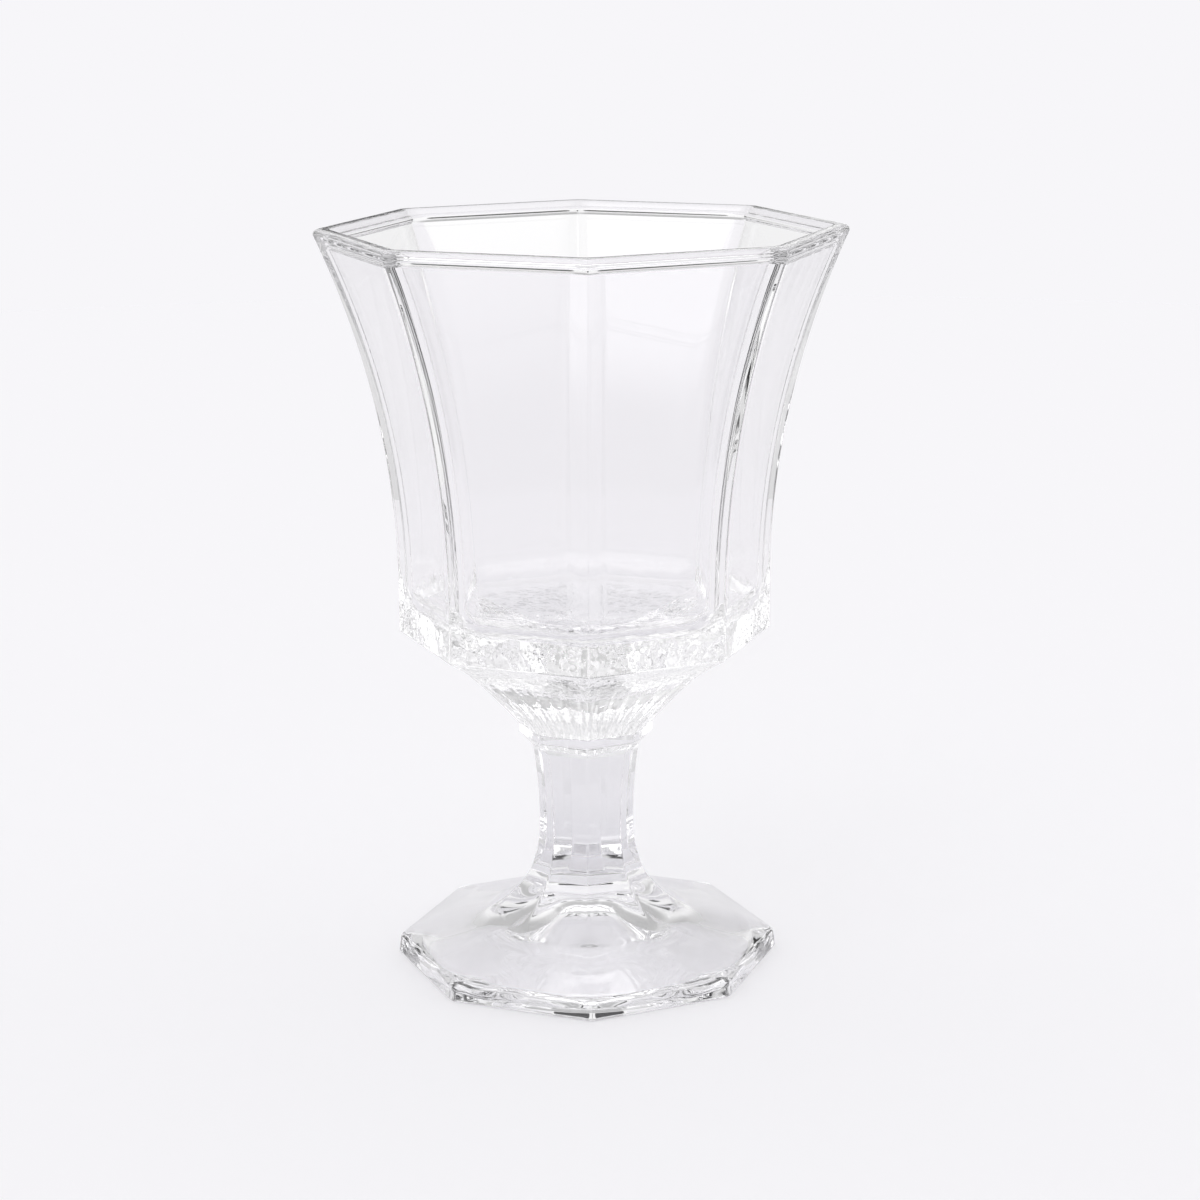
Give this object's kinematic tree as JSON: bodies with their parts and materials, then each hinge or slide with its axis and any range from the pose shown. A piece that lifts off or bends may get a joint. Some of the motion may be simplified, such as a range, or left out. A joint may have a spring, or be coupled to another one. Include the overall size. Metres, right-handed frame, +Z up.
{
  "type": "water goblet",
  "caption": "Footed water goblet of clear pressed glass: a flared octagonal bowl on a hollow-curved funnel, a collar, a short waisted stem and a broad octagonal foot, for serving a cold drink.",
  "frame": {"origin": "centre of the resting face under the foot", "axes": "+Z up along the goblet's axis, towards the rim; a corner of the octagon points along +X and along -Y"},
  "size_m": [0.105, 0.105, 0.15],
  "materials": {
    "clear_glass": "fire-polished clear glass"
  },
  "bodies": {
    "root": {"bowl": "clear_glass", "collar": "clear_glass", "stem": "clear_glass", "foot": "clear_glass"}
  },
  "joints": []
}
